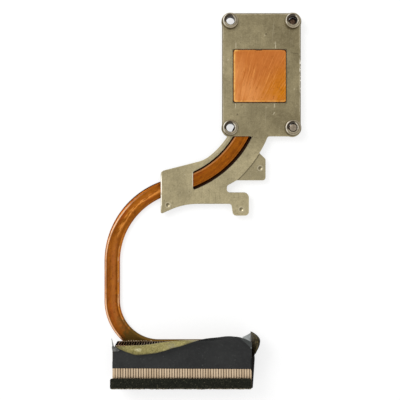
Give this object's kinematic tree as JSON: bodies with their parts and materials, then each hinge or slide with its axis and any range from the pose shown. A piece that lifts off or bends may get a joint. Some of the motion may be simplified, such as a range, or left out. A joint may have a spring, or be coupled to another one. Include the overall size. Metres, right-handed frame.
{
  "type": "laptop heat-pipe heatsink",
  "caption": "Flat laptop heatsink: an alloy mounting plate with a copper processor pad, a bent flat heat pipe and a stack of folded fins under black film and a foam strip.",
  "frame": {"origin": "centre of the processor pad's contact face", "axes": "+Z out of the contact face towards the processor, +Y along the heatsink from the fins to the plate, so that it lies on its back on the heat pipe"},
  "size_m": [0.1113, 0.2091, 0.0174],
  "materials": {
    "plate_alloy": "dull cast, warm grey, fine scratches",
    "bush_steel": "turned, satin",
    "pad_copper": "bare copper, brushed diagonally",
    "pipe_copper": "bare copper, darkened, satin",
    "fin_sheet": "thin folded sheet, satin",
    "film_black": "black film, satin, olive adhesive on its underside",
    "foam_black": "open-cell foam, matt"
  },
  "bodies": {
    "root": {"base_plate": "plate_alloy", "mounting_bushes": "bush_steel", "cpu_pad": "pad_copper", "heat_pipe": "pipe_copper", "cover_film": "film_black", "foam_gasket": "foam_black", "fin_01": "fin_sheet", "fin_02": "fin_sheet", "fin_03": "fin_sheet", "fin_04": "fin_sheet", "fin_05": "fin_sheet", "fin_06": "fin_sheet", "fin_07": "fin_sheet", "fin_08": "fin_sheet", "fin_09": "fin_sheet", "fin_10": "fin_sheet", "fin_11": "fin_sheet", "fin_12": "fin_sheet", "fin_13": "fin_sheet", "fin_14": "fin_sheet", "fin_15": "fin_sheet", "fin_16": "fin_sheet", "fin_17": "fin_sheet", "fin_18": "fin_sheet", "fin_19": "fin_sheet", "fin_20": "fin_sheet", "fin_21": "fin_sheet", "fin_22": "fin_sheet", "fin_23": "fin_sheet", "fin_24": "fin_sheet", "fin_25": "fin_sheet", "fin_26": "fin_sheet", "fin_27": "fin_sheet", "fin_28": "fin_sheet", "fin_29": "fin_sheet", "fin_30": "fin_sheet", "fin_31": "fin_sheet", "fin_32": "fin_sheet", "fin_33": "fin_sheet", "fin_34": "fin_sheet", "fin_35": "fin_sheet", "fin_36": "fin_sheet", "fin_37": "fin_sheet", "fin_38": "fin_sheet", "fin_39": "fin_sheet", "fin_40": "fin_sheet", "fin_41": "fin_sheet", "fin_42": "fin_sheet", "fin_43": "fin_sheet", "fin_44": "fin_sheet", "fin_45": "fin_sheet", "fin_46": "fin_sheet", "fin_47": "fin_sheet", "fin_48": "fin_sheet", "fin_49": "fin_sheet", "fin_50": "fin_sheet", "fin_51": "fin_sheet", "fin_52": "fin_sheet", "fin_53": "fin_sheet", "fin_54": "fin_sheet"}
  },
  "joints": []
}
